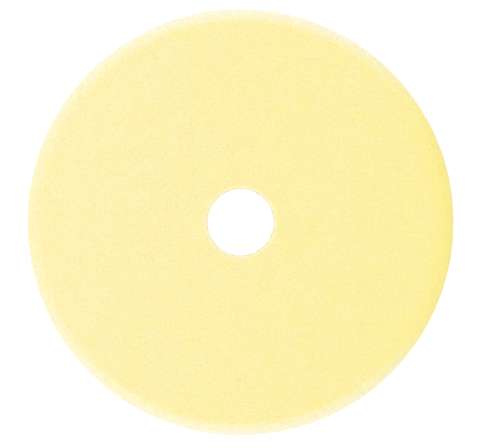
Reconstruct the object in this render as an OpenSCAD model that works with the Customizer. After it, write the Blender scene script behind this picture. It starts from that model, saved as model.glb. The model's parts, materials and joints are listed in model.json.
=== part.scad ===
// Round foam finishing pad with a centre hole, for a car polishing machine.
//
// The pad lies on its loop face, as it does on a shelf. z = 0 is the level of
// the loop tips, +Z points out of the working face, and the origin is on the
// pad's axis. Every layer is a body of revolution about that axis.
// All lengths are in millimetres.

/* [Pad] */
// Largest diameter of the pad, at the shoulder below the rounded edge
pad_d = 150; // [100:1:200]
// Thickness of the whole pad, from the loop tips to the working face
pad_h = 25; // [18:0.5:40]

/* [Edges] */
// Width of the rounded front edge, seen from above
edge_w = 4.2; // [1.5:0.1:8]
// Depth of the rounded front edge, from the working face to the shoulder
edge_h = 8; // [2:0.5:10]
// How far the side leans in between the shoulder and the back of the foam
side_lean = 2; // [0:0.25:6]
// Radius that softens the mouth of the centre hole
mouth_r = 1; // [0.25:0.25:2]

/* [Centre hole] */
// Diameter of the centre hole, through every layer
hole_d = 23.5; // [16:0.5:40]

/* [Backing] */
// Thickness of the hot-melt film that bonds the loop fabric to the foam
film_t = 0.4; // [0.2:0.1:0.8]
// Thickness of the loop fabric, knitted ground and loops together
loop_t = 2.2; // [1:0.1:4]

/* [Smoothness] */
// Number of flats in each rounded edge's outline
edge_steps = 16; // [6:1:32]

/* [Hidden] */

$fn = 180;

// Radii of the outline, from the axis outwards
hole_r = hole_d / 2;
shoulder_r = pad_d / 2;
face_r = shoulder_r - edge_w;
back_r = shoulder_r - side_lean;

// Heights of the layers, from the loop tips upwards
film_z = loop_t;
foam_z = film_z + film_t;
shoulder_z = pad_h - edge_h;

quarter_turn = 90;

// A quarter of an ellipse about (x, z), from angle a to angle a + 90 degrees.
function quarter_arc(x, z, rx, rz, a) = [
    for (i = [0 : edge_steps])
        let (t = a + quarter_turn * i / edge_steps)
        [x + rx * cos(t), z + rz * sin(t)]
];

// Half of the foam's section: up the side, over the rounded edge, across the
// working face, and over the softened mouth into the hole.
module foam_outline() {
    polygon(concat(
        [[hole_r, foam_z], [back_r, foam_z]],
        quarter_arc(face_r, shoulder_z, edge_w, edge_h, 0),
        quarter_arc(hole_r + mouth_r, pad_h - mouth_r, mouth_r, mouth_r, 90)
    ));
}

// A flat ring between the hole and the back edge of the foam.
module ring_layer(z, thickness) {
    translate([0, 0, z])
        difference() {
            cylinder(r = back_r, h = thickness);
            translate([0, 0, -thickness])
                cylinder(r = hole_r, h = 3 * thickness);
        }
}

// Soft open-cell foam that carries the polish and follows the panel.
module foam_body() {
    color("#fdf1aa")
        rotate_extrude()
            foam_outline();
}

// Hot-melt film, melted into the back of the foam and the knitted ground.
module adhesive_film() {
    color("#d9cfa0")
        ring_layer(film_z, film_t);
}

// Loop fabric that grips the hook face of the machine's backing plate.
module loop_backing() {
    color("#f2f0e8")
        ring_layer(0, loop_t);
}

foam_body();
adhesive_film();
loop_backing();
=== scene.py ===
# %% [markdown]
# # A foam finishing pad for a car polisher
#
# The object is a soft foam disc with a hole through its centre. A machine spins it, and it
# spreads polish over paint. It is a laminate of three layers: fine-celled foam, a film of
# hot-melt glue, and loop fabric that a hook-faced backing plate grips.
#
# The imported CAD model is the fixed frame. It gives each layer's place and size in metres, so
# nothing here is fitted by eye. Each layer is then rebuilt with the shape and finish of the
# real one: cut foam, a squeezed line of glue, a knitted ground and its nylon loops.

import json
import math

import bpy
import numpy as np
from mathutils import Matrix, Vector, noise


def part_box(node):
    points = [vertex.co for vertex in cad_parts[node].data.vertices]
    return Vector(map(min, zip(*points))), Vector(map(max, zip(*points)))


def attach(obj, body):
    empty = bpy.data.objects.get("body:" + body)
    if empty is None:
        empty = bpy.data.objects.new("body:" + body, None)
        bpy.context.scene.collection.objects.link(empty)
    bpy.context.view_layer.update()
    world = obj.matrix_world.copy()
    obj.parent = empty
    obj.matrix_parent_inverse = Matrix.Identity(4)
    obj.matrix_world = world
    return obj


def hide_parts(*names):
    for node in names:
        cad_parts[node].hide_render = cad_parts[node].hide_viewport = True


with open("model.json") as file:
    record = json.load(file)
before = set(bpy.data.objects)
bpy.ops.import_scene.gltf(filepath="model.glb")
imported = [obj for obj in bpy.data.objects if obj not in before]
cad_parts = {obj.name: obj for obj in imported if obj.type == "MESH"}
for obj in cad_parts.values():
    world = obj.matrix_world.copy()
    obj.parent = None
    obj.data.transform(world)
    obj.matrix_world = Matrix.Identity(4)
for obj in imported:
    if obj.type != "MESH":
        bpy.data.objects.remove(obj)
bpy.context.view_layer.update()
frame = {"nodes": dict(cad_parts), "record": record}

# %% [markdown]
# ## Sizes read from the frame
#
# A node's box gives its lowest and highest corners. All layers are round and share the Z
# axis, so a layer's outer radius is the high corner's X. The hole's radius is stated by the
# record's bore mount. The rounded front edge isn't in a box, so it is measured on the CAD
# mesh: the flat face ends where the highest points end, and the shoulder is where the foam
# is widest.

# %% Sizes of the layers
MM = 0.001
SAME_PLACE = 0.01 * MM

foam_low, foam_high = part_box("foam_body")
film_low, film_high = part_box("adhesive_film")
loop_low, loop_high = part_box("loop_backing")

shoulder_radius = foam_high.x
back_radius = film_high.x
face_height = foam_high.z
hole_radius = next(
    mount["dims"]["r_mm"] * MM
    for mount in frame["record"]["mounts"]
    if mount["name"] == "centre_hole"
)

cad_points = np.array([v.co for v in frame["nodes"]["foam_body"].data.vertices])
cad_radii = np.hypot(cad_points[:, 0], cad_points[:, 1])
on_face = cad_points[:, 2] > face_height - SAME_PLACE
face_radius = cad_radii[on_face].max()
mouth_radius = cad_radii[on_face].min() - hole_radius
shoulder_height = cad_points[cad_radii > shoulder_radius - SAME_PLACE, 2].min()
edge_width = shoulder_radius - face_radius
edge_depth = face_height - shoulder_height

print(f"pad {2 * shoulder_radius / MM:.1f} mm across and {face_height / MM:.1f} mm thick")
print(f"front edge {edge_width / MM:.2f} mm wide and {edge_depth / MM:.2f} mm deep")
print(f"hole {2 * hole_radius / MM:.1f} mm, mouth rounded by {mouth_radius / MM:.2f} mm")

# %% [markdown]
# ## A helper for turned shapes
#
# Every layer is a ring, so each one is a closed outline carried round the axis. A Screw
# modifier could do that too. Building the points with NumPy gives a vertex for every step
# along the outline and every step round the axis, so that the surface can be roughened
# point by point afterwards, as cut foam is.

# %% Turned meshes
def straight(start, end, step):
    """Points from start towards end, at most step apart. The end is left out."""
    count = max(1, math.ceil(math.dist(start, end) / step))
    return [
        tuple(a + (b - a) * k / count for a, b in zip(start, end)) for k in range(count)
    ]


def arc(centre, radii, start, end, steps):
    """Points on an ellipse about centre, from start to end degrees. The end is left out."""
    turns = [math.radians(start + (end - start) * k / steps) for k in range(steps)]
    return [
        (centre[0] + radii[0] * math.cos(t), centre[1] + radii[1] * math.sin(t))
        for t in turns
    ]


def mesh_piece(name, points, faces):
    """A smooth-shaded piece from lists of points and faces."""
    mesh = bpy.data.meshes.new(name)
    mesh.from_pydata(points, [], faces)
    mesh.update()
    mesh.shade_smooth()
    piece = bpy.data.objects.new(name, mesh)
    bpy.context.scene.collection.objects.link(piece)
    print(f"{name}: {len(mesh.vertices)} points and {len(mesh.polygons)} faces")
    return piece


def turned(name, outline, around):
    """A ring: a closed outline of (radius, height) carried round Z in that many steps."""
    outline = np.array(outline)
    along = len(outline)
    angles = np.linspace(0, 2 * math.pi, around, endpoint=False)[:, None]
    radius, height = outline[:, 0], outline[:, 1]
    points = np.stack(
        [
            radius * np.cos(angles),
            radius * np.sin(angles),
            np.tile(height, (around, 1)),
        ],
        axis=-1,
    )
    turn, step = np.meshgrid(np.arange(around), np.arange(along), indexing="ij")
    after_turn, after_step = (turn + 1) % around, (step + 1) % along
    faces = np.stack(
        [
            turn * along + step,
            turn * along + after_step,
            after_turn * along + after_step,
            after_turn * along + step,
        ],
        axis=-1,
    )
    return mesh_piece(name, points.reshape(-1, 3).tolist(), faces.reshape(-1, 4).tolist())


def roughen(piece, amount, size, shift, loose):
    """Moves each loose point along its normal by up to amount, in lumps of about size.

    The shift picks another stretch of the noise, so that no two passes agree.
    """
    mesh = piece.data
    points = np.array([v.co for v in mesh.vertices])
    normals = np.array([v.normal for v in mesh.vertices])
    offset = Vector((shift, 0, 0))
    lumps = np.array([
        noise.noise(Vector(point) / size + offset) if loose(*point) else 0.0
        for point in points
    ])
    points += normals * amount * lumps[:, None]
    mesh.vertices.foreach_set("co", points.astype(np.float32).ravel())
    mesh.update()
    highest = amount * np.abs(lumps).max()
    print(f"{piece.name}: {size / MM:.1f} mm lumps, up to {highest / MM:.2f} mm high")


# %% [markdown]
# ## The foam disc
#
# The real disc is cut from a sheet of open-cell foam, and its front edge is ground round.
# The face is flat, but a soft sheet is never quite true. The outline goes up the hole wall,
# over the softened mouth, across the face, over the edge and down the side. The back stays
# flat and coarse, because it is bonded to the glue.

# %% Foam disc
FINE_STEP = 0.72 * MM
BACK_STEP = 3.5 * MM
MOUTH_STEPS = 6
EDGE_STEPS = 22
TURNS = 540

hole_foot = (hole_radius, foam_low.z)
hole_lip = (hole_radius, face_height - mouth_radius)
mouth_centre = (hole_radius + mouth_radius, face_height - mouth_radius)
face_inner = (hole_radius + mouth_radius, face_height)
face_outer = (face_radius, face_height)
edge_centre = (face_radius, shoulder_height)
shoulder = (shoulder_radius, shoulder_height)
back_edge = (back_radius, foam_low.z)

foam_disc = turned(
    "foam_disc",
    straight(hole_foot, hole_lip, FINE_STEP)
    + arc(mouth_centre, (mouth_radius, mouth_radius), 180, 90, MOUTH_STEPS)
    + straight(face_inner, face_outer, FINE_STEP)
    + arc(edge_centre, (edge_width, edge_depth), 90, 0, EDGE_STEPS)
    + straight(shoulder, back_edge, FINE_STEP)
    + straight(back_edge, hole_foot, BACK_STEP),
    TURNS,
)

# %% [markdown]
# ## The foam's cut and ground surface
#
# The roughness comes in four passes. Long low waves come from the way a foam sheet is
# sliced, and faint lumps of a few millimetres from its uneven bubbles. Lumps of about a
# millimetre are where the blade and the grinder tore the hole wall, the edge and the side.
# The last pass roughens the side once more, because it is only sliced and never ground.
#
# A Displace modifier could move the points too. Moving them here lets each pass keep to the
# part of the disc that its tool touched, and leaves the bonded back flat.

# %% Foam roughness
WAVE_HEIGHT, WAVE_WIDTH = 0.10 * MM, 24 * MM
BUBBLE_HEIGHT, BUBBLE_WIDTH = 0.05 * MM, 3.1 * MM
TEAR_HEIGHT, TEAR_WIDTH = 0.10 * MM, 1.3 * MM
SLICE_HEIGHT, SLICE_WIDTH = 0.20 * MM, 1.6 * MM

bond_top = foam_low.z + 0.3 * MM
face_skin = face_height - 0.5 * MM
side_top = shoulder_height - 1.5 * MM


def free_of_bond(x, y, z):
    """True away from the bonded back of the foam."""
    return z > bond_top


def cut_or_ground(x, y, z):
    """True on the hole wall, the rounded edge and the side, whose cells a blade has ripped."""
    on_flat = hole_radius + mouth_radius < math.hypot(x, y) < face_radius
    return free_of_bond(x, y, z) and not (on_flat and z > face_skin)


def cut_side(x, y, z):
    """True on the side, below the ground edge."""
    return free_of_bond(x, y, z) and z < side_top


roughen(foam_disc, WAVE_HEIGHT, WAVE_WIDTH, shift=3, loose=free_of_bond)
roughen(foam_disc, BUBBLE_HEIGHT, BUBBLE_WIDTH, shift=11, loose=free_of_bond)
roughen(foam_disc, TEAR_HEIGHT, TEAR_WIDTH, shift=23, loose=cut_or_ground)
roughen(foam_disc, SLICE_HEIGHT, SLICE_WIDTH, shift=31, loose=cut_side)

# %% [markdown]
# ## The line of hot-melt glue
#
# A film of hot-melt glue is laid between the foam and the fabric, and heated rollers press
# the three together. Most of it soaks in. A thin line stays at the outer cut edge, where it
# bulges slightly and unevenly. So the ring gets a rounded outer edge that stands a little
# proud, and only that edge is roughened. The hole is punched through all three layers at
# once, so the glue ends flush with the hole wall.

# %% Hot-melt line
GLUE_BULGE = 0.14 * MM
BEAD_STEPS = 6
BEAD_SHARE = 0.9
GLUE_LUMP_HEIGHT, GLUE_LUMP_WIDTH = 0.12 * MM, 2.2 * MM

film_middle = (film_low.z + film_high.z) / 2
half_film = (film_high.z - film_low.z) / 2
glue_bead = (GLUE_BULGE, half_film)

hot_melt_line = turned(
    "hot_melt_line",
    arc((back_radius, film_middle), glue_bead, 90, -90, BEAD_STEPS)
    + straight((back_radius, film_low.z), (hole_radius, film_low.z), BACK_STEP)
    + straight((hole_radius, film_low.z), (hole_radius, film_high.z), half_film)
    + straight((hole_radius, film_high.z), (back_radius, film_high.z), BACK_STEP),
    TURNS,
)


def on_bead(x, y, z):
    """True on the bead of glue at the outer edge."""
    level = abs(z - film_middle) < BEAD_SHARE * half_film
    return level and math.hypot(x, y) > back_radius


roughen(hot_melt_line, GLUE_LUMP_HEIGHT, GLUE_LUMP_WIDTH, shift=5, loose=on_bead)

# %% [markdown]
# ## The knitted ground of the loop fabric
#
# Loop fabric is a warp knit. Its ground is a thin, firm cloth, and the loops stand out of
# one side. The ground could be a plane with a Solidify modifier. A turned ring is used
# instead, because it has the same round hole and edge as the other layers, and a cut edge
# that can fray a little. The knit itself is finer than a mesh needs to be, so it is in the
# material.

# %% Knitted ground
GROUND_THICKNESS = 0.7 * MM
EDGE_STEP = GROUND_THICKNESS / 3
FACE_MARGIN = 0.1 * EDGE_STEP
FRAY_HEIGHT, FRAY_WIDTH = 0.18 * MM, 0.9 * MM

ground_low = loop_high.z - GROUND_THICKNESS
ground_corners = [
    (hole_radius, ground_low),
    (hole_radius, loop_high.z),
    (back_radius, loop_high.z),
    (back_radius, ground_low),
]

knitted_ground = turned(
    "knitted_ground",
    straight(ground_corners[0], ground_corners[1], EDGE_STEP)
    + straight(ground_corners[1], ground_corners[2], BACK_STEP)
    + straight(ground_corners[2], ground_corners[3], EDGE_STEP)
    + straight(ground_corners[3], ground_corners[0], BACK_STEP),
    TURNS,
)


def cut_cloth(x, y, z):
    """True on the outer cut edge of the cloth, inside its two faces."""
    level = ground_low + FACE_MARGIN < z < loop_high.z - FACE_MARGIN
    return level and math.hypot(x, y) > (hole_radius + back_radius) / 2


roughen(knitted_ground, FRAY_HEIGHT, FRAY_WIDTH, shift=17, loose=cut_cloth)

# %% [markdown]
# ## The nylon loops: where they stand
#
# The loops are what the hooks of a backing plate catch. They stand in staggered rows, as the
# knitting needles leave them, each a little off its place. The punch that cuts the hole
# takes the loops beside it too, so none of them leans into the hole.

# %% Feet of the loops
ROW_SPACING = 1.65 * MM
FOOT_SCATTER = 0.12 * ROW_SPACING
EDGE_MARGIN = 0.55 * MM
HOLE_MARGIN = 1.25 * MM
LOOP_SEED = 41

draw = np.random.default_rng(LOOP_SEED)
rows = np.arange(-back_radius, back_radius, ROW_SPACING)
feet_x, feet_y = np.meshgrid(rows, rows)
feet_x[1::2] += ROW_SPACING / 2
feet = np.stack([feet_x.ravel(), feet_y.ravel()], axis=1)
feet += draw.normal(0, FOOT_SCATTER, feet.shape)
foot_radius = np.hypot(feet[:, 0], feet[:, 1])
inside = foot_radius > hole_radius + HOLE_MARGIN
inside &= foot_radius < back_radius - EDGE_MARGIN
feet = feet[inside]
count = len(feet)
print(f"{count} loops stand in rows {ROW_SPACING / MM:.2f} mm apart")

# %% [markdown]
# ## The nylon loops: how each one is bent
#
# A loop is a bent nylon thread with both feet in the ground. Brushing in the factory lays
# the loops over towards +X, and turns and stretches each one differently. So every loop gets
# its own turn, width, reach and lean, and a path that leaves one foot, bellies out and comes
# back to the other. One NumPy calculation makes the paths of all the loops.

# %% Paths of the loops
THREAD_RADIUS = 0.085 * MM
PATH_POINTS = 6
TURN_SPREAD = math.radians(28)
LOOP_WIDTH = 0.95 * MM
WIDTH_SHARES = (0.8, 1.2)
REACH_SHARES = (0.86, 0.99)
LEAN_X, LEAN_Y, LEAN_SPREAD = 0.28, 0.06, 0.16
BELLY = 0.35
ROUNDNESS = 0.8
BURIED = 0.12 * MM

full_reach = ground_low - loop_low.z - THREAD_RADIUS
turn = draw.normal(0, TURN_SPREAD, count)
width = LOOP_WIDTH * draw.uniform(*WIDTH_SHARES, count)
reach = full_reach * draw.uniform(*REACH_SHARES, count)
lean_x = draw.normal(LEAN_X, LEAN_SPREAD, count)
lean_y = draw.normal(LEAN_Y, LEAN_SPREAD, count)

bend = np.linspace(0, math.pi, PATH_POINTS)
across = -np.cos(bend) * (1 + BELLY * np.sin(bend)) / 2
down = np.sin(bend) ** ROUNDNESS

side = np.stack([np.cos(turn), np.sin(turn), np.zeros(count)], axis=1)
out = np.stack([-np.sin(turn), np.cos(turn), np.zeros(count)], axis=1)
depth = reach[:, None] * down
path = side[:, None] * (width[:, None] * across)[:, :, None]
path[:, :, 0] += feet[:, None, 0] + lean_x[:, None] * depth
path[:, :, 1] += feet[:, None, 1] + lean_y[:, None] * depth
path[:, :, 2] = ground_low + BURIED * (1 - down) - depth
print(f"loops reach {reach.min() / MM:.2f} to {reach.max() / MM:.2f} mm below the ground")

# %% [markdown]
# ## The nylon loops: the thread
#
# Hair curves could draw the thread, but then the loops wouldn't be in an exported mesh. So
# the thread is a thin tube with three sides, closed at both feet. Each point of a path needs
# two directions square to the thread: cross products with the way the loop faces give them.
# No thread goes below the surface that the pad lies on.

# %% Threads of the loops
THREAD_SIDES = 3

along_path = np.gradient(path, axis=1)
along_path /= np.linalg.norm(along_path, axis=2, keepdims=True)
second = np.cross(along_path, out[:, None])
second /= np.linalg.norm(second, axis=2, keepdims=True)
first = np.cross(second, along_path)
round_thread = 2 * math.pi * np.arange(THREAD_SIDES) / THREAD_SIDES
thread = THREAD_RADIUS * (
    first[:, :, None] * np.cos(round_thread)[:, None]
    + second[:, :, None] * np.sin(round_thread)[:, None]
)
loop_points = (path[:, :, None] + thread).reshape(-1, 3)
loop_points[:, 2] = loop_points[:, 2].clip(loop_low.z, None)

start = (np.arange(count) * PATH_POINTS * THREAD_SIDES)[:, None, None]
link = (np.arange(PATH_POINTS - 1) * THREAD_SIDES)[:, None]
corner = np.arange(THREAD_SIDES)
after = (corner + 1) % THREAD_SIDES
walls = np.stack(
    [
        start + link + corner,
        start + link + after,
        start + link + THREAD_SIDES + after,
        start + link + THREAD_SIDES + corner,
    ],
    axis=-1,
).reshape(-1, 4)
first_foot = (start[:, 0] + corner[::-1]).tolist()
last_foot = (start[:, 0] + (PATH_POINTS - 1) * THREAD_SIDES + corner).tolist()

nylon_loops = mesh_piece(
    "nylon_loops", loop_points.tolist(), walls.tolist() + first_foot + last_foot
)

# %% [markdown]
# ## A small language for shaders
#
# A material is arithmetic on patterns, so it reads best as arithmetic. `Value` wraps one
# number socket, and adding or multiplying two of them adds the Math node that does it.
# `Recipe` wraps a node tree, and its one `node` method makes every other kind of node: its
# settings are set first, and then its sockets get plain values or links.

# %% Shader helpers
class Value:
    """A number socket that can be used in an expression."""

    def __init__(self, recipe, socket):
        self.recipe, self.socket = recipe, socket

    def __add__(self, other):
        return self.recipe.maths("ADD", self, other)

    def __sub__(self, other):
        return self.recipe.maths("SUBTRACT", self, other)

    def __rsub__(self, other):
        return self.recipe.maths("SUBTRACT", other, self)

    def __mul__(self, other):
        return self.recipe.maths("MULTIPLY", self, other)

    def __truediv__(self, other):
        return self.recipe.maths("DIVIDE", self, other)

    __radd__ = __add__
    __rmul__ = __mul__


class Recipe:
    """A node tree, written as a recipe."""

    def __init__(self, tree):
        self.tree = tree
        self.tree.nodes.clear()

    def node(self, kind, settings=None, sockets=None):
        """Adds a node, makes its settings, then fills its sockets. Returns the node."""
        made = self.tree.nodes.new(kind)
        for name, value in (settings or {}).items():
            setattr(made, name, value)
        for name, value in (sockets or {}).items():
            if isinstance(value, Value):
                self.tree.links.new(value.socket, made.inputs[name])
            elif isinstance(value, bpy.types.NodeSocket):
                self.tree.links.new(value, made.inputs[name])
            else:
                made.inputs[name].default_value = value
        return made

    def value(self, kind, settings=None, sockets=None, output=0):
        """The same, for a node whose output is a number to calculate with."""
        return Value(self, self.node(kind, settings, sockets).outputs[output])

    def maths(self, operation, first, second=0.0):
        """One Math node. An operation on one number leaves the second one out."""
        return self.value("ShaderNodeMath", {"operation": operation}, {0: first, 1: second})

    def ramp(self, value, start, end):
        """Goes smoothly from 0, where value is start, to 1, where value is end."""
        return self.value(
            "ShaderNodeMapRange",
            {"interpolation_type": "SMOOTHSTEP"},
            {"Value": value, "From Min": start, "From Max": end},
        )

    def blend(self, factor, first, second):
        """Goes from the first colour to the second as factor goes from 0 to 1."""
        mix = self.node(
            "ShaderNodeMix",
            {"data_type": "RGBA"},
            {"Factor": factor, 6: first, 7: second},
        )
        return mix.outputs[2]

    def split(self, vector):
        """The X, Y and Z of a vector, as values."""
        parts = self.node("ShaderNodeSeparateXYZ", None, {"Vector": vector})
        return [Value(self, output) for output in parts.outputs]

    def noise(self, place, size, detail, roughness=0.5):
        """Soft lumps of about the given size, from 0 to 1."""
        return self.value(
            "ShaderNodeTexNoise",
            None,
            {"Vector": place, "Scale": 1 / size, "Detail": detail, "Roughness": roughness},
        )

    def size_of(self, x, y):
        """The length of the flat vector (x, y)."""
        return self.maths("SQRT", x * x + y * y)

    def bump(self, height, distance):
        """The Normal of a surface raised by height times distance."""
        made = self.node("ShaderNodeBump", None, {"Height": height, "Distance": distance})
        return made.outputs["Normal"]


def material(name):
    """A new material and its recipe."""
    made = bpy.data.materials.new(name)
    made.use_nodes = True
    return made, Recipe(made.node_tree)


def surface(recipe, **sockets):
    """Gives a recipe its Principled surface. An underscore in a name is a space."""
    shader = recipe.node(
        "ShaderNodeBsdfPrincipled",
        None,
        {name.replace("_", " "): value for name, value in sockets.items()},
    )
    recipe.node("ShaderNodeOutputMaterial", None, {"Surface": shader.outputs[0]})


# %% [markdown]
# ## Foam finish: the cells
#
# Polishing foam is a fine open mesh of thin plastic walls. From a little way off its cells
# blur into a soft grain, and close up each one is a small pit. A cell pattern does both: its
# walls give the height, and the pits are painted a shade deeper in colour, a painted shade for
# the light that gets lost in them. Noise of a millimetre groups the pits, as the foam's
# bubbles do, and also mottles the colour at random. Wider noise makes faint blotches, which
# keep the grain from looking printed.

# %% Foam cells
CELL = 0.42 * MM
CLUSTER = 1.0 * MM
BLOTCH = 4.5 * MM
DRIFT = 26 * MM
WALL_RANGE = (0.15, 0.75)
HOLLOW_RANGE = (0.40, 0.75)
PIT_RANGE = (0.3, 0.7)

foam, recipe = material("foam")
place = recipe.node("ShaderNodeTexCoord").outputs["Object"]
x, y, z = recipe.split(place)
from_axis = recipe.size_of(x, y)

cells = recipe.value(
    "ShaderNodeTexVoronoi",
    {"feature": "F1"},
    {"Vector": place, "Scale": 1 / CELL, "Randomness": 1.0},
    "Distance",
)
clusters = recipe.noise(place, CLUSTER, detail=2.0, roughness=0.6)
blotches = recipe.noise(place, BLOTCH, detail=1.0)
drift = recipe.noise(place, DRIFT, detail=1.0)

wall = recipe.ramp(cells, *WALL_RANGE)
hollow = recipe.ramp(clusters, *HOLLOW_RANGE)
pit = (1 - wall) * recipe.ramp(clusters, *PIT_RANGE)
print(f"cells {CELL / MM:.2f} mm wide, in clusters of {CLUSTER / MM:.1f} mm")

# %% [markdown]
# ## Foam finish: painted shade across the disc
#
# The yellow deepens towards +X, and a little towards -Y: painted shade, as the light falls
# from the -X side, with random blotches of deeper and paler tone over it. Along the +X edge it
# deepens most, and that is painted shade too, on the edge turned from the light.
#
# This and the next finishes of the foam are masks that go from 0 to 1 over a distance. A pair
# of values says where a mask starts and where it is full. They are in the object's own
# coordinates, so they stay put however the pad is seen.

# %% Painted shade across the disc
SHADE_ACROSS_X = 0.5 / shoulder_radius
SHADE_ACROSS_Y = 0.06 / shoulder_radius
MIDDLE = 0.5
DRIFT_SHARE, BLOTCH_SHARE = 0.3, 0.9
SHADED_SIDE = (0.50 * shoulder_radius, shoulder_radius)
SHADOWED_BAND = (face_radius - 6 * MM, shoulder_radius - 1 * MM)

# Painted shade deepening towards +X, with random drift and blotches over it.
shade_across_and_blotches = x * SHADE_ACROSS_X - y * SHADE_ACROSS_Y + MIDDLE
shade_across_and_blotches = shade_across_and_blotches + (drift - MIDDLE) * DRIFT_SHARE
shade_across_and_blotches = shade_across_and_blotches + (blotches - MIDDLE) * BLOTCH_SHARE
# Painted shade along the +X edge, which is turned from the light.
toward_shaded_side = recipe.ramp(x, *SHADED_SIDE)
shadowed = recipe.ramp(from_axis, *SHADOWED_BAND) * toward_shaded_side
print(f"the edge is aged from {SHADOWED_BAND[0] / MM:.1f} mm out")

# %% [markdown]
# ## Foam finish: cream of ripped cells and a painted highlight
#
# Grinding tears cells open, and the ripped walls scatter white light, so the ground edge and
# the mouth of the hole are creamy. Over that real cream lies a painted highlight: the cream is
# strongest towards +Y and -Y, where light falls on the edge, and the +X edge, turned from the
# light, gets none. Round the mouth, part of the cream is a painted highlight of the light that
# comes up through the hole. It fades down the side.

# %% Ripped cells and painted highlight
GROUND_BAND = (face_radius - 0.3 * MM, face_radius + 0.9 * MM)
OUTER_BAND = (face_radius + 0.4 * MM, shoulder_radius + 0.6 * MM)
GROUND_SHARE, OUTER_SHARE = 0.40, 0.60
CREAM_ALL_ROUND, HIGHLIGHT_AT_ENDS = 0.18, 0.82
SIDE_DEPTH = (shoulder_height + 1 * MM, shoulder_height - 7 * MM)
SIDE_LOSS = 0.75
MOUTH_BAND = (hole_radius, hole_radius + 1.7 * mouth_radius)
MOUTH_DEPTH = (face_height - 3 * MM, face_height - 0.8 * MM)

ground = recipe.ramp(from_axis, *GROUND_BAND)
outer_band = recipe.ramp(from_axis, *OUTER_BAND)
# Painted highlight: the cream grows towards +Y and -Y, where light falls on the edge.
lit_ends = recipe.maths("ABSOLUTE", y / from_axis)
edge_cream_and_highlight = ground * GROUND_SHARE + outer_band * OUTER_SHARE
edge_cream_and_highlight = edge_cream_and_highlight * (CREAM_ALL_ROUND + HIGHLIGHT_AT_ENDS * lit_ends)
# No cream on the +X side: painted shade there.
edge_cream_and_highlight = edge_cream_and_highlight * (1 - toward_shaded_side)
edge_cream_and_highlight = edge_cream_and_highlight * (1 - SIDE_LOSS * recipe.ramp(z, *SIDE_DEPTH))
# Round the mouth: ripped cells and a painted highlight of the light through the hole.
mouth_cream_and_highlight = 1 - recipe.ramp(from_axis, *MOUTH_BAND)
mouth_cream_and_highlight = mouth_cream_and_highlight * recipe.ramp(z, *MOUTH_DEPTH)
torn_and_lit = recipe.maths("MAXIMUM", edge_cream_and_highlight, mouth_cream_and_highlight)
print(f"cells are torn from {GROUND_BAND[0] / MM:.1f} mm out, and round the hole's mouth")

# %% [markdown]
# ## Foam finish: the shaded shoulder and the sliced side
#
# The shoulder on the +X side is painted a little darker, in patches: painted shade, on the
# shoulder turned from the light. The side is sliced and not ground. Its cells are cut across,
# so its grain is coarser.

# %% Shaded shoulder and sliced side
SHADED_SHOULDER_BAND = (face_radius + 2.9 * MM, shoulder_radius)
SHADED_SHOULDER_SIDE = (0.80 * shoulder_radius, 0.97 * shoulder_radius)
SHADED_SHOULDER_DEPTH = (shoulder_height - 2.5 * MM, shoulder_height + 0.5 * MM)
SLICED_DEPTH = (face_height - 4.0 * MM, face_height - 9.0 * MM)

# Painted shade on the +X shoulder, turned from the light.
shaded_shoulder = recipe.ramp(from_axis, *SHADED_SHOULDER_BAND)
shaded_shoulder = shaded_shoulder * recipe.ramp(x, *SHADED_SHOULDER_SIDE)
shaded_shoulder = shaded_shoulder * recipe.ramp(z, *SHADED_SHOULDER_DEPTH)
sliced = recipe.ramp(z, *SLICED_DEPTH)
print(f"{len(foam.node_tree.nodes)} nodes make the foam's patterns and masks")

# %% [markdown]
# ## Foam finish: colour and surface
#
# The colours are laid over each other in this order: the painted shade across the sheet with
# its random blotches, the painted shade along the +X edge, the cream of ripped cells with its
# painted highlight, the painted shade on the +X shoulder, and the painted shade of the pits,
# with random mottling, over all of them. Light also sinks into foam and comes out nearby,
# which subsurface scattering gives. Foam hardly shines, so the surface is rough, with little
# specular and a trace of sheen.

# %% Foam material
# From pale to deep: the painted shade across the disc, and its random blotches.
FOAM_PALE = (0.980, 0.888, 0.517, 1)
FOAM_DEEP = (0.980, 0.870, 0.385, 1)
# Painted shade for the +X edge.
FOAM_EDGE_SHADE = (0.985, 0.862, 0.300, 1)
# Cream of ripped cells, also the colour of the painted highlight on the edge and the mouth.
TORN_CREAM_AND_HIGHLIGHT = (0.985, 0.945, 0.79, 1)
# Painted shade for the +X shoulder.
SHOULDER_SHADE = (0.87, 0.77, 0.31, 1)
# Painted shade for the cell pits, also used for random mottling.
PIT_SHADE_AND_MOTTLE = (0.89, 0.765, 0.310, 1)

EVEN_SHOULDER_SHADE, PATCHY_SHOULDER_SHADE = 0.55, 0.45
FACE_PITS, FACE_HOLLOWS, SLICED_GAIN = 0.35, 0.30, 0.35
WALL_RISE, CLUSTER_RISE, SLICED_RISE = 0.6, 0.9, 0.8
CELL_DEPTH = 0.10 * MM

foam_colour = recipe.blend(shade_across_and_blotches, FOAM_PALE, FOAM_DEEP)
foam_colour = recipe.blend(shadowed, foam_colour, FOAM_EDGE_SHADE)
foam_colour = recipe.blend(torn_and_lit, foam_colour, TORN_CREAM_AND_HIGHLIGHT)
# Patchy painted shade on the +X shoulder.
shoulder_shading = shaded_shoulder * (EVEN_SHOULDER_SHADE + PATCHY_SHOULDER_SHADE * hollow)
foam_colour = recipe.blend(shoulder_shading, foam_colour, SHOULDER_SHADE)
# Painted shade in the pits, with random mottling.
pit_shade_and_mottle = pit * (FACE_PITS + SLICED_GAIN * sliced)
pit_shade_and_mottle = pit_shade_and_mottle + hollow * (FACE_HOLLOWS + SLICED_GAIN * sliced)
foam_colour = recipe.blend(pit_shade_and_mottle, foam_colour, PIT_SHADE_AND_MOTTLE)
foam_height = wall * WALL_RISE + clusters * (CLUSTER_RISE + SLICED_RISE * sliced)

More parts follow.
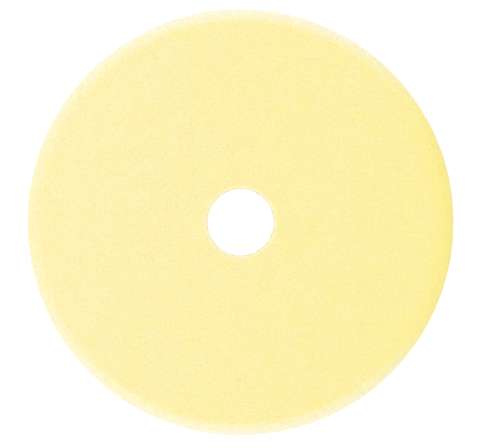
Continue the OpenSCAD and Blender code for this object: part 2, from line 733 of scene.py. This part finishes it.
surface(
    recipe,
    Base_Color=foam_colour,
    Roughness=0.92,
    Specular_IOR_Level=0.1,
    Subsurface_Weight=0.25,
    Subsurface_Radius=(1.0, 0.8, 0.35),
    Subsurface_Scale=2.5 * MM,
    Sheen_Weight=0.06,
    Sheen_Roughness=0.5,
    Sheen_Tint=(1, 1, 1, 1),
    Normal=recipe.bump(foam_height, CELL_DEPTH),
)
foam_disc.data.materials.append(foam)
print(f"the foam's finish has {len(foam.node_tree.nodes)} nodes")

# %% [markdown]
# ## The finish of the glue
#
# Hot-melt glue sets to a slightly glossy, wax-like amber. It was squeezed out unevenly, so
# one ripple varies its colour, its gloss and its height together.

# %% Glue material
AMBER = (0.80, 0.66, 0.33, 1)
PALE_AMBER = (0.90, 0.80, 0.52, 1)
RIPPLE_WIDTH, RIPPLE_HEIGHT = 1.2 * MM, 0.08 * MM

glue, recipe = material("glue")
place = recipe.node("ShaderNodeTexCoord").outputs["Object"]
ripple = recipe.noise(place, RIPPLE_WIDTH, detail=3.0)
surface(
    recipe,
    Base_Color=recipe.blend(ripple, AMBER, PALE_AMBER),
    Roughness=0.3 + 0.25 * ripple,
    Subsurface_Weight=0.3,
    Subsurface_Radius=(1.0, 0.8, 0.4),
    Subsurface_Scale=1.0 * MM,
    Normal=recipe.bump(ripple, RIPPLE_HEIGHT),
)
hot_melt_line.data.materials.append(glue)
print("glue on", hot_melt_line.name)

# %% [markdown]
# ## The finish of the knitted ground
#
# The ground is pale grey nylon with a soft sheen. Little light gets down between the loops, so
# its colour is painted darker than theirs, and darkest between the stitches: painted shade. It
# is knitted, so its height is two crossed waves: wales one way, at the spacing of the loops,
# and courses the other way, twice as close.

# %% Knitted ground material
# Painted shade: the ground's colour where little light reaches it.
GROUND_SHADE = (0.46, 0.455, 0.435, 1)
NYLON_GREY = (0.72, 0.71, 0.685, 1)
FLUFF_WIDTH = 0.3 * MM
STITCH_SHARE, FLUFF_SHARE = 0.6, 0.4
STITCH_HEIGHT, FLUFF_RISE = 0.15 * MM, 0.5

ground_nylon, recipe = material("knitted_nylon")
place = recipe.node("ShaderNodeTexCoord").outputs["Object"]
x, y, z = recipe.split(place)
waves = 2 * math.pi / ROW_SPACING
wales = recipe.maths("SINE", x * waves)
courses = recipe.maths("SINE", y * waves * 2)
stitch = (wales * courses + 1) * 0.5
fluff = recipe.noise(place, FLUFF_WIDTH, detail=3.0)
raised = stitch * STITCH_SHARE + fluff * FLUFF_SHARE
surface(
    recipe,
    Base_Color=recipe.blend(raised, GROUND_SHADE, NYLON_GREY),
    Roughness=0.75,
    Sheen_Weight=0.4,
    Sheen_Roughness=0.4,
    Normal=recipe.bump(stitch + fluff * FLUFF_RISE, STITCH_HEIGHT),
)
knitted_ground.data.materials.append(ground_nylon)
print(f"courses lie {ROW_SPACING / 2 / MM:.2f} mm apart")

# %% [markdown]
# ## The finish of the loops
#
# The loops are the same nylon, in fine shiny threads. Real geometry gives them their shape,
# so the finish adds only the small unevenness of the thread.

# %% Loop material
NYLON_LIGHT = (0.90, 0.89, 0.865, 1)
STRAND_WIDTH, STRAND_HEIGHT = 0.6 * MM, 0.03 * MM

loop_nylon, recipe = material("loop_nylon")
place = recipe.node("ShaderNodeTexCoord").outputs["Object"]
strand = recipe.noise(place, STRAND_WIDTH, detail=2.0)
surface(
    recipe,
    Base_Color=recipe.blend(strand, NYLON_GREY, NYLON_LIGHT),
    Roughness=0.35 + 0.3 * strand,
    Sheen_Weight=0.3,
    Sheen_Roughness=0.3,
    Normal=recipe.bump(strand, STRAND_HEIGHT),
)
nylon_loops.data.materials.append(loop_nylon)
print("nylon on", knitted_ground.name, "and", nylon_loops.name)

# %% [markdown]
# ## What each piece is to the frame
#
# All three layers move as one body, so each piece is attached to the root body. The knitted
# ground is the only sheet of cloth. It was cut to the size of the foam's back, and its flat
# area is that of a disc less its hole.

# %% Body and cloth area
cloth_area = math.pi * (back_radius**2 - hole_radius**2)

for piece, slot in (
    (foam_disc, "foam"),
    (hot_melt_line, "bond"),
    (knitted_ground, "loop"),
    (nylon_loops, "loop"),
):
    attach(piece, "root")

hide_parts("foam_body")
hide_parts("adhesive_film")
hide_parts("loop_backing")
print(f"cloth: {2 * back_radius / MM:.1f} mm disc, {cloth_area * 1e4:.1f} square cm flat")

# %% [markdown]
# ## The floor
#
# The pad lies on a sheet of white acrylic that glows, as product tables lit from below do, so
# hardly any shadow shows. Under the hole the glow is painted brighter, a painted pool of light
# that keeps the hole as bright as the open floor. Under the rest of the pad the glow is
# painted dimmer, a painted shadow, so the loops aren't lit from beneath and the pad sits on
# the floor with a soft line of contact. All this goes by the distance from the pad's axis. A
# plane is enough for a floor. It lies a hair under the loops so that the two don't flicker.

# %% Floor sheet
FLOOR_HALF = 8.0
FLOOR_DROP = 0.02 * MM

floor_mesh = bpy.data.meshes.new("floor")
floor_mesh.from_pydata(
    [
        (side_x * FLOOR_HALF, side_y * FLOOR_HALF, -FLOOR_DROP)
        for side_x, side_y in ((-1, -1), (1, -1), (1, 1), (-1, 1))
    ],
    [],
    [(0, 1, 2, 3)],
)
floor = bpy.data.objects.new("floor", floor_mesh)
bpy.context.scene.collection.objects.link(floor)
print(f"floor {2 * FLOOR_HALF:.0f} m square")

# %% Floor finish
FLOOR_GLOW = (0.80, 0.80, 0.81, 1)
# Painted pool of light: the glow under the hole.
HOLE_LIGHT_POOL = (0.93, 0.93, 0.94, 1)
# Painted shadow: the dimmer glow under the pad.
CONTACT_SHADOW_GLOW = (0.40, 0.40, 0.41, 1)
ACRYLIC_THIN = (0.27, 0.27, 0.27, 1)
ACRYLIC_DENSE = (0.31, 0.31, 0.31, 1)
HAZE_WIDTH = 0.33
LIGHT_POOL_SPREAD = (60 * MM, 15 * MM)
CONTACT_SHADOW_INNER = (hole_radius + 5 * MM, hole_radius + 9 * MM)
CONTACT_SHADOW_OUTER = (shoulder_radius, back_radius - 1 * MM)

acrylic, recipe = material("white_acrylic")
place = recipe.node("ShaderNodeTexCoord").outputs["Object"]
x, y, z = recipe.split(place)
haze = recipe.noise(place, HAZE_WIDTH, detail=2.0)
from_axis = recipe.size_of(x, y)
# Painted pool of light under the hole.
in_light_pool = recipe.ramp(from_axis, *LIGHT_POOL_SPREAD)
# Painted shadow under the pad, out to its edge.
in_contact_shadow = recipe.ramp(from_axis, *CONTACT_SHADOW_INNER) * recipe.ramp(from_axis, *CONTACT_SHADOW_OUTER)
glow = recipe.blend(in_light_pool, FLOOR_GLOW, HOLE_LIGHT_POOL)
surface(
    recipe,
    Base_Color=recipe.blend(haze, ACRYLIC_THIN, ACRYLIC_DENSE),
    Roughness=0.8,
    Specular_IOR_Level=0.0,
    Emission_Color=recipe.blend(in_contact_shadow, glow, CONTACT_SHADOW_GLOW),
    Emission_Strength=1.0,
)
floor_mesh.materials.append(acrylic)
print(f"the glow is dimmed out to {CONTACT_SHADOW_OUTER[1] / MM:.1f} mm from the axis")

# %% [markdown]
# ## The room
#
# The room is a white dome, made in the world's own nodes from the direction that is looked
# in. The front and back walls are brightest, the left one is a little dimmer and the right
# one is warm. A dark card stands low on the right and gives the pad's edge a line there.
# Under the horizon the dome is plain white, so the floor has no visible end. Area lights
# could do all this too, but a dome lights a soft object more evenly.

# %% Room
WALL_ENDS = (1.05, 1.06, 1.14, 1)
WALL_LEFT = (0.94, 0.92, 0.86, 1)
WALL_RIGHT = (1.00, 0.95, 0.68, 1)
CEILING = (1.0, 0.992, 0.945, 1)
CARD = (0.25, 0.24, 0.20, 1)
WHITE = (1.0, 1.0, 1.0, 1)
LEFT_BEARING, RIGHT_BEARING = (-0.35, -0.85), (0.35, 0.85)
CEILING_RISE = (0.45, 0.80)
CARD_BEARING, CARD_RISE = (0.55, 0.95), (0.18, 0.06)
HORIZON = (0.0, -0.03)

world = bpy.data.worlds.new("studio")
world.use_nodes = True
bpy.context.scene.world = world
recipe = Recipe(world.node_tree)
direction = recipe.node("ShaderNodeTexCoord").outputs["Generated"]
x, y, z = recipe.split(direction)
bearing = x / recipe.size_of(x, y)
from_left = recipe.ramp(bearing, *LEFT_BEARING)
from_right = recipe.ramp(bearing, *RIGHT_BEARING)
overhead = recipe.ramp(z, *CEILING_RISE)
behind_card = recipe.ramp(bearing, *CARD_BEARING) * recipe.ramp(z, *CARD_RISE)
below = recipe.ramp(z, *HORIZON)

dome = recipe.blend(from_left, WALL_ENDS, WALL_LEFT)
dome = recipe.blend(from_right, dome, WALL_RIGHT)
dome = recipe.blend(overhead, dome, CEILING)
dome = recipe.blend(behind_card, dome, CARD)
dome = recipe.blend(below, dome, WHITE)
backdrop = recipe.node("ShaderNodeBackground", None, {"Color": dome, "Strength": 1.0})
recipe.node("ShaderNodeOutputWorld", None, {"Surface": backdrop.outputs[0]})
print(f"the dome has {len(world.node_tree.nodes)} nodes")

# %% [markdown]
# ## One softbox
#
# A single large softbox hangs overhead on the left. It is weak beside the dome, and gives
# the grain of the foam a direction.

# %% Softbox
SOFTBOX_PLACE = Vector((-0.6, 0.1, 1.8))
SOFTBOX_WIDTH = 1.0
SOFTBOX_WATTS = 2.4

softbox_light = bpy.data.lights.new("softbox", "AREA")
softbox_light.size, softbox_light.energy = SOFTBOX_WIDTH, SOFTBOX_WATTS
softbox = bpy.data.objects.new("softbox", softbox_light)
softbox.location = SOFTBOX_PLACE
softbox.rotation_euler = (-SOFTBOX_PLACE).to_track_quat("-Z", "Y").to_euler()
bpy.context.scene.collection.objects.link(softbox)
print(f"softbox {SOFTBOX_WIDTH} m wide at {SOFTBOX_WATTS} W")

# %% [markdown]
# ## The camera
#
# The camera looks straight down on the working face. It is orthographic, like a very long
# lens from far away, so the hole shows only its mouth and none of its wall. The "Standard"
# view keeps white at full white, where a film-like view would grey it.

# %% Camera
VIEW_WIDTH = 169.05 * MM
VIEW_SHIFT = Vector((-0.21 * MM, -0.60 * MM, 0))
CAMERA_HEIGHT = 0.8
NEAREST, FARTHEST = 0.01, 100.0

camera_data = bpy.data.cameras.new("camera")
camera_data.type = "ORTHO"
camera_data.ortho_scale = VIEW_WIDTH
camera_data.clip_start, camera_data.clip_end = NEAREST, FARTHEST
camera = bpy.data.objects.new("camera", camera_data)
camera.location = VIEW_SHIFT + Vector((0, 0, CAMERA_HEIGHT))
bpy.context.scene.collection.objects.link(camera)
bpy.context.scene.camera = camera
bpy.context.scene.view_settings.view_transform = "Standard"
print(f"camera {CAMERA_HEIGHT} m up, looking straight down")
